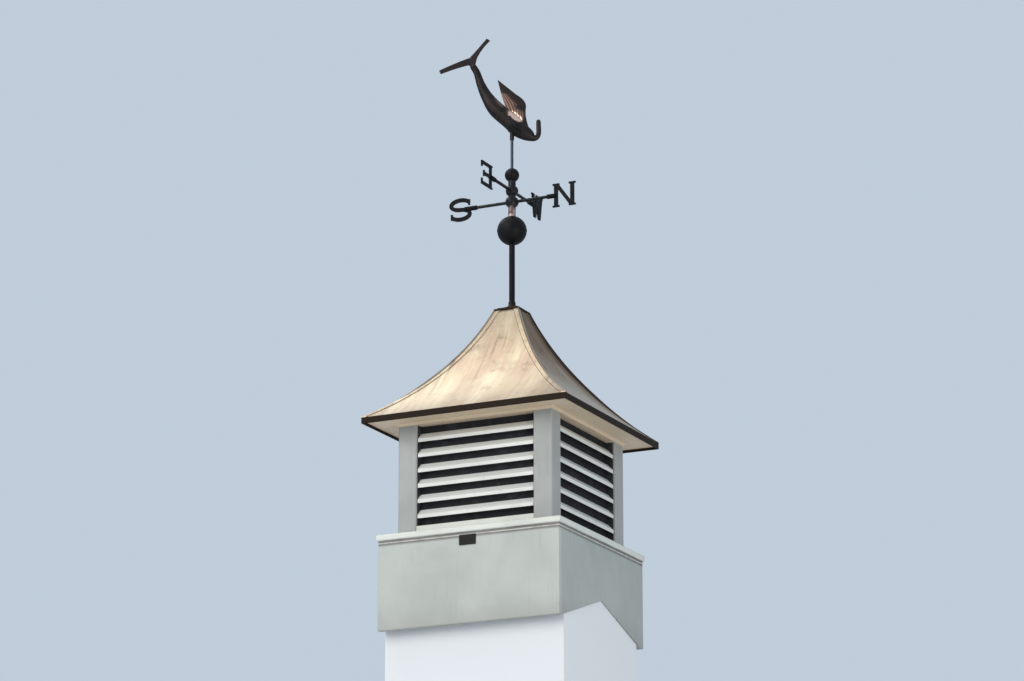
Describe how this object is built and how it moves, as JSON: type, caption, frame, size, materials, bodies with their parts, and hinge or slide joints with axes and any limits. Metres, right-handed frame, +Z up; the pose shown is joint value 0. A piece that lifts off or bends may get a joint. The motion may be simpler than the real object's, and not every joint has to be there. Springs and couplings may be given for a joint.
{
  "type": "garage cupola",
  "caption": "Louvred roof cupola with a saddle base, bell-curved copper hip roof, globe, compass arms and a turning fish weathervane.",
  "frame": {"origin": "on the mast's axis, level with the bottom edges of the front and back base boards", "axes": "+Z up the mast, -Y the front, X along the roof ridge that the base straddles"},
  "size_m": [0.75, 0.75, 2.1286],
  "materials": {
    "pvc_boards": "weathered white cellular PVC boards",
    "pvc_trim": "white cellular PVC mouldings",
    "pvc_posts": "slightly grey white PVC posts",
    "louvre_white": "clean white PVC blades",
    "screen_mesh": "black woven insect screen",
    "copper_sheet": "bright copper sheet, weathering to pink and brown",
    "dark_copper": "dark brown weathered copper",
    "timber": "plain timber block inside the roof",
    "dark_bronze": "near black weathered copper and brass",
    "steel_rod": "steel spindle",
    "vane_bronze": "dark weathered copper with worn highlights",
    "dark_plate": "small bare dark plate"
  },
  "bodies": {
    "cupola": {"base_front": "pvc_boards", "base_back": "pvc_boards", "base_left": "pvc_boards", "base_right": "pvc_boards", "sill_front": "pvc_trim", "sill_back": "pvc_trim", "sill_left": "pvc_trim", "sill_right": "pvc_trim", "bottom_rails": "pvc_trim", "top_rails": "pvc_trim", "bed_mould": "pvc_trim", "soffit": "pvc_trim", "post_front_left": "pvc_posts", "post_front_right": "pvc_posts", "post_back_left": "pvc_posts", "post_back_right": "pvc_posts", "louvre_front": "louvre_white", "louvre_back": "louvre_white", "louvre_left": "louvre_white", "louvre_right": "louvre_white", "insect_screens": "screen_mesh", "roof_front": "copper_sheet", "roof_back": "copper_sheet", "roof_left": "copper_sheet", "roof_right": "copper_sheet", "hip_caps": "copper_sheet", "eave_trim": "dark_copper", "peak_cap": "dark_copper", "mast_collar": "dark_copper", "peak_block": "timber", "mast_tube": "dark_bronze", "globe": "dark_bronze", "compass_arm_ns": "dark_bronze", "compass_arm_ew": "dark_bronze", "letters_ns": "dark_bronze", "letters_ew": "dark_bronze", "knob": "dark_bronze", "spindle": "steel_rod", "front_plate": "dark_plate"},
    "vane": {"vane_sleeve": "vane_bronze", "fish_body": "vane_bronze", "tail_fin": "vane_bronze", "back_fin": "vane_bronze", "side_fins": "vane_bronze"}
  },
  "joints": [
    {"name": "vane_spin", "type": "hinge", "parent": "cupola", "child": "vane", "pos_m": [0, 0, 1.7547], "axis": [0, 0, 1], "continuous": true}
  ]
}
